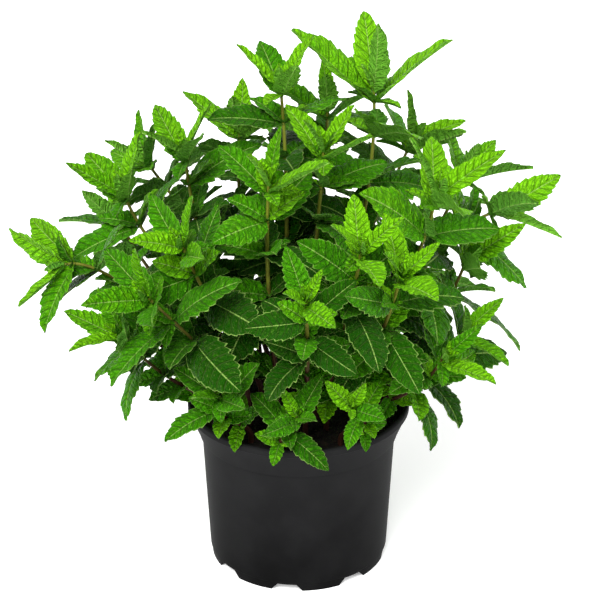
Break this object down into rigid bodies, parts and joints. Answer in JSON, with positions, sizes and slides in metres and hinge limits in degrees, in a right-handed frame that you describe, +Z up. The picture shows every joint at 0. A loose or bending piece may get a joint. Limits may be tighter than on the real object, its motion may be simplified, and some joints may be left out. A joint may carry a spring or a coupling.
{
  "type": "potted mint plant",
  "caption": "Bushy mint plant with toothed paired leaves on many stems, growing in a round black nursery pot of soil that stands on a flat foot",
  "frame": {"origin": "middle of the flat pad under the pot, where it stands on a surface", "axes": "+Z up along the pot's axis, the side the picture shows faces -Y, +X to the right of that view"},
  "size_m": [0.3174, 0.2939, 0.3235],
  "materials": {
    "pot_plastic": "charcoal black, fine satin grain",
    "potting_soil": "dark moist peat crumbs, fully matte",
    "mint_leaf": "green, puckered between pale veins, soft waxy sheen"
  },
  "bodies": {
    "root": {"pot": "pot_plastic", "soil": "potting_soil", "stem_01": "mint_leaf", "stem_02": "mint_leaf", "stem_03": "mint_leaf", "stem_04": "mint_leaf", "stem_05": "mint_leaf", "stem_06": "mint_leaf", "stem_07": "mint_leaf", "stem_08": "mint_leaf", "stem_09": "mint_leaf", "stem_10": "mint_leaf", "stem_11": "mint_leaf", "stem_12": "mint_leaf", "stem_13": "mint_leaf", "stem_14": "mint_leaf", "stem_15": "mint_leaf", "stem_16": "mint_leaf", "stem_17": "mint_leaf", "stem_18": "mint_leaf", "stem_19": "mint_leaf", "stem_20": "mint_leaf", "stem_21": "mint_leaf", "stem_22": "mint_leaf", "stem_23": "mint_leaf", "stem_24": "mint_leaf", "stem_25": "mint_leaf", "stem_26": "mint_leaf", "stem_27": "mint_leaf", "stem_28": "mint_leaf", "stem_29": "mint_leaf", "stem_30": "mint_leaf", "stem_31": "mint_leaf", "stem_32": "mint_leaf", "stem_33": "mint_leaf"}
  },
  "joints": []
}
